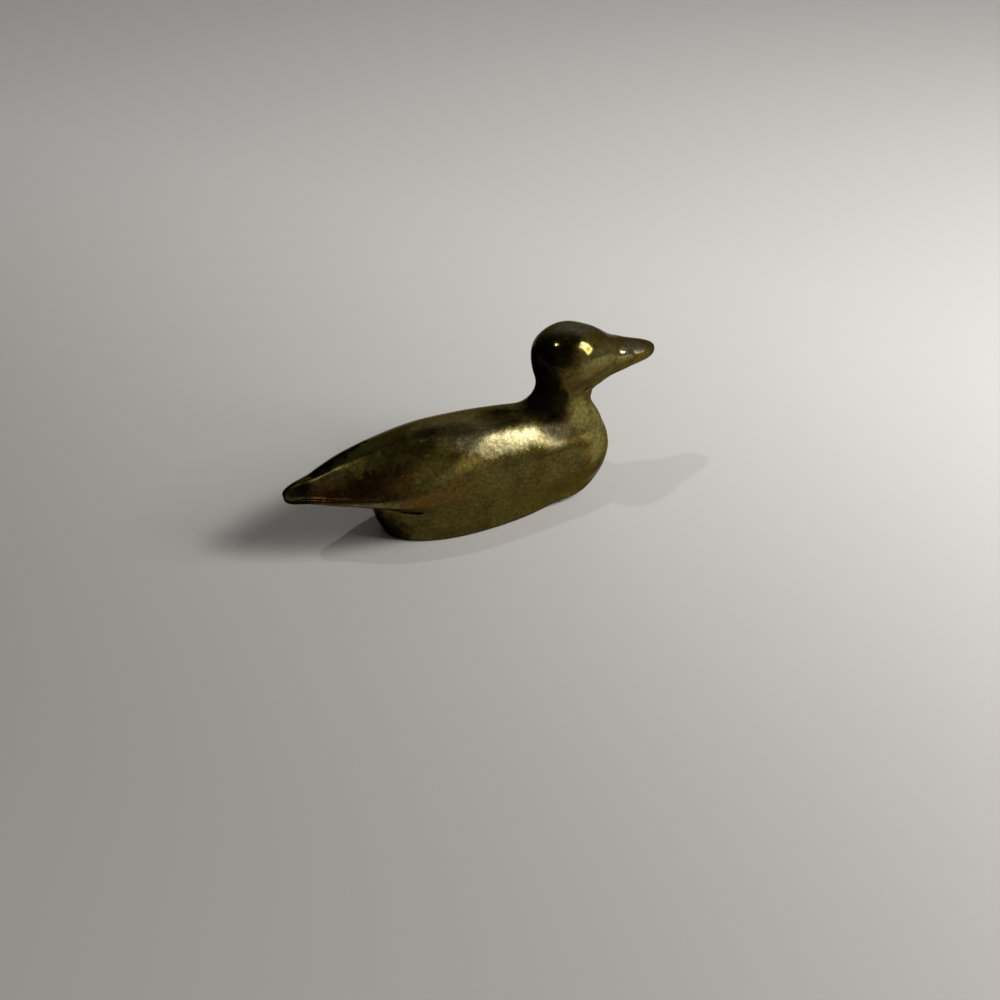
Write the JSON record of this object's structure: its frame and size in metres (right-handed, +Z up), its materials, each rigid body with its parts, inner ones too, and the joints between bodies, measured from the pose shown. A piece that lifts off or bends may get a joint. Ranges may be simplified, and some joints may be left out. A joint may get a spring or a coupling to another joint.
{
  "type": "duck figurine",
  "caption": "Solid cast brass duck figurine with raised head, pointed tail and long oval foot, resting flat on a shelf or desk as an ornament or paperweight.",
  "frame": {"origin": "bottom centre of the bounding box, on the plane that the foot rests on", "axes": "+X from tail to bill, +Y to the duck's left, +Z up"},
  "size_m": [0.1, 0.027, 0.0497],
  "materials": {
    "body_brass": "aged, dull bronze tone with worn brighter patches",
    "head_brass": "aged, dull bronze tone with worn brighter patches",
    "pin_brass": "plain turned rod, hidden",
    "seam_brass": "dressed flush and aged like the castings"
  },
  "bodies": {
    "root": {"body_casting": "body_brass", "head_casting": "head_brass", "neck_pin": "pin_brass", "braze_seam": "seam_brass"}
  },
  "joints": []
}
